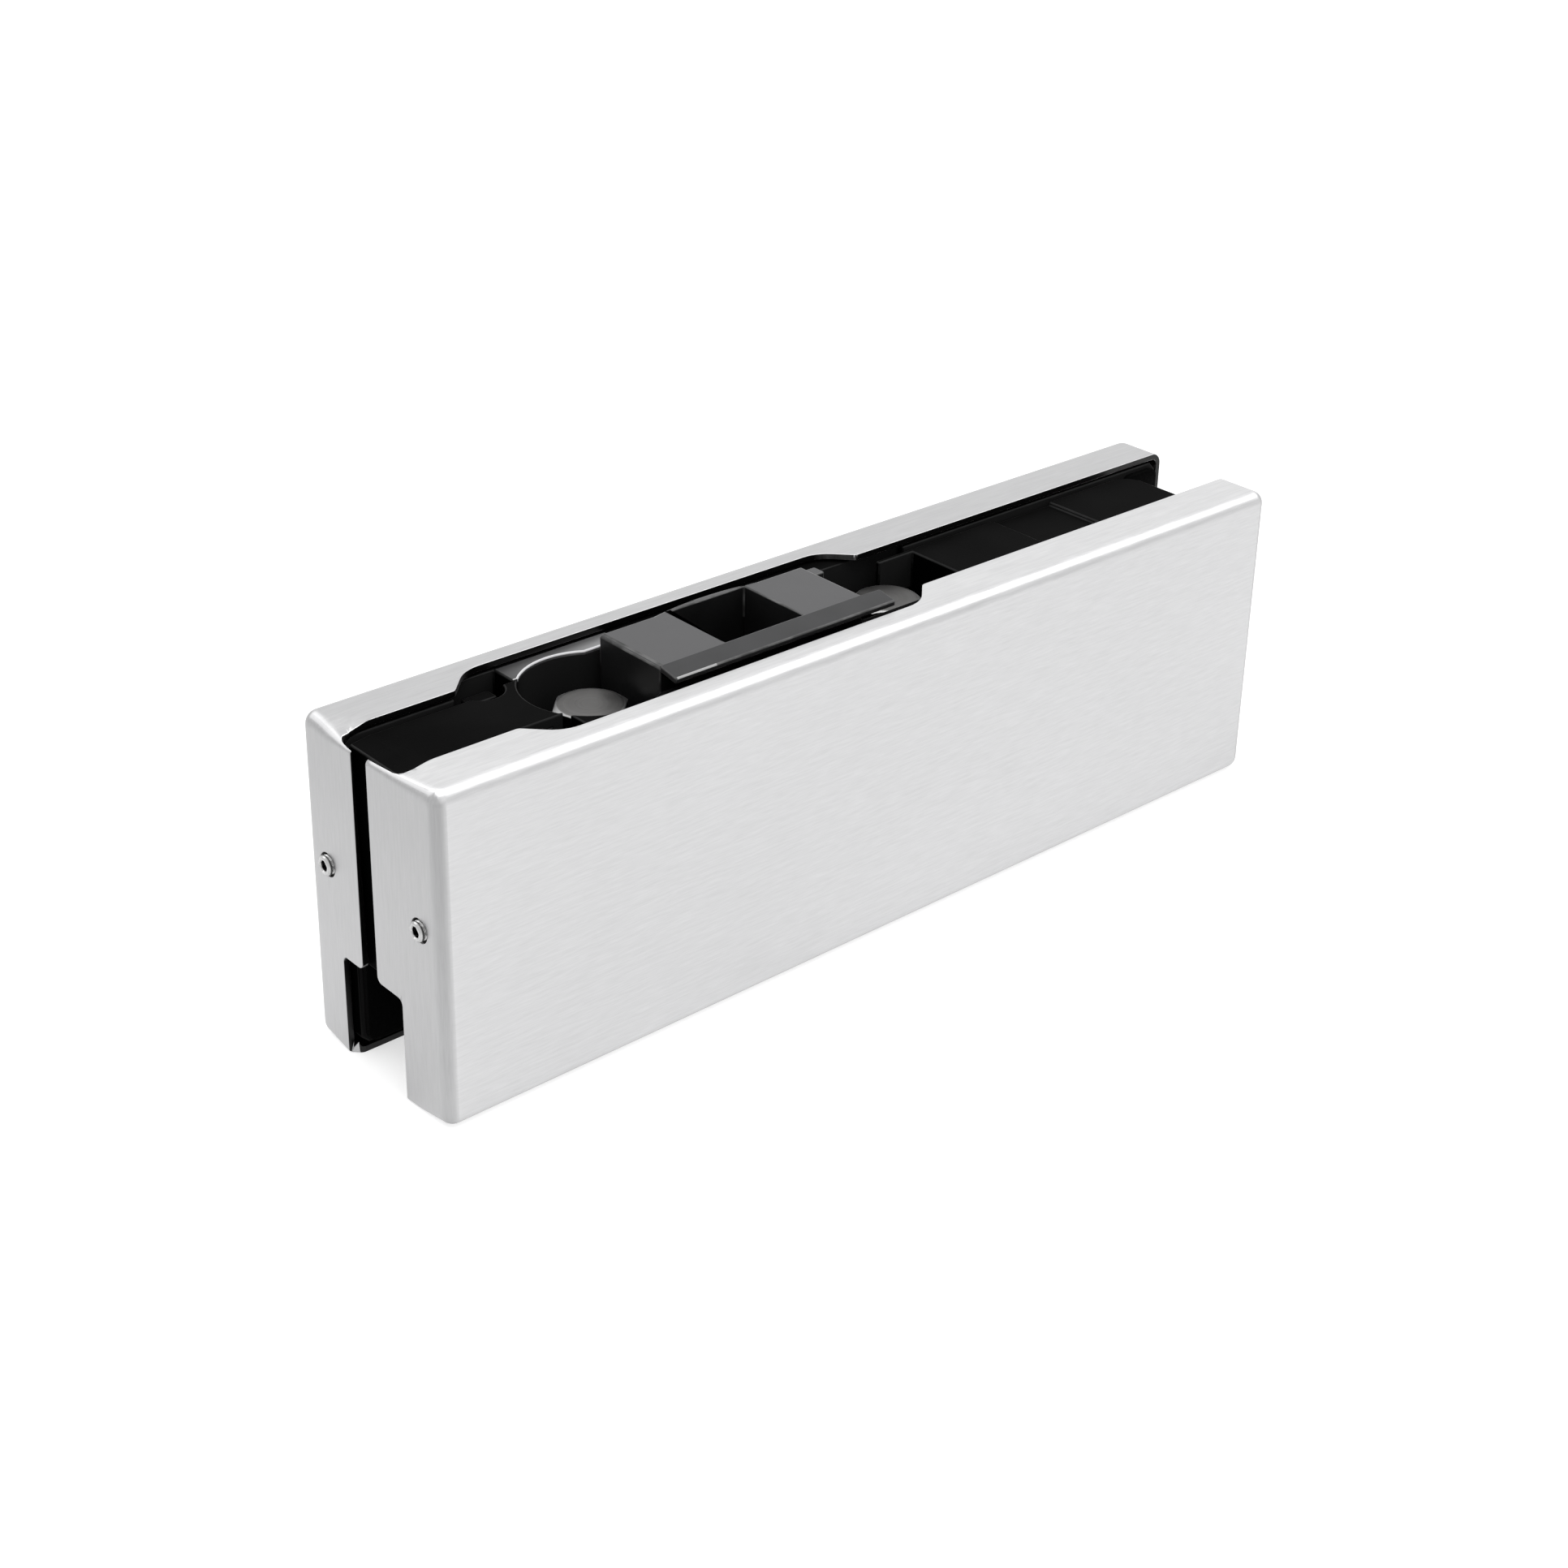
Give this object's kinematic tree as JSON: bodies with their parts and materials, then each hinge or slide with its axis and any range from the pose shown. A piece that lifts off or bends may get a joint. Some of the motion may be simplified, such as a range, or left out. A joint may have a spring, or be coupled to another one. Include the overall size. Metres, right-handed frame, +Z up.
{
  "type": "glass patch fitting",
  "caption": "Corner patch fitting that clamps the notched corner of a frameless glass door and holds an adjustable spindle socket.",
  "frame": {"origin": "centre of the covers' footprint, on the plane the fitting stands on with its glass side down", "axes": "+X runs along the door from its pivot corner, +Y runs from the front face to the back face, +Z points up, the way the spindle socket opens"},
  "size_m": [0.1654, 0.032, 0.0525],
  "materials": {
    "cover_steel": "brushed stainless",
    "black_casting": "black coated casting",
    "satin_black_steel": "satin black",
    "bright_steel": "plated",
    "dark_steel": "oiled black",
    "gasket_rubber": "matt"
  },
  "bodies": {
    "clamp": {"front_cover": "cover_steel", "back_cover": "cover_steel", "front_casting": "black_casting", "back_casting": "black_casting", "insert_bolt_left": "bright_steel", "insert_bolt_right": "bright_steel", "insert_washer_left": "bright_steel", "insert_washer_right": "bright_steel", "clamp_screw_left": "dark_steel", "clamp_screw_middle": "dark_steel", "clamp_screw_right": "dark_steel", "cover_screw_front_left": "dark_steel", "cover_screw_front_right": "dark_steel", "cover_screw_back_left": "dark_steel", "cover_screw_back_right": "dark_steel", "front_gasket": "gasket_rubber", "back_gasket": "gasket_rubber"},
    "insert": {"spindle_insert": "satin_black_steel"}
  },
  "joints": [
    {"name": "insert_adjust", "type": "slide", "parent": "clamp", "child": "insert", "axis": [1, 0, 0], "range_m": [-0.0009, 0.0051]}
  ]
}
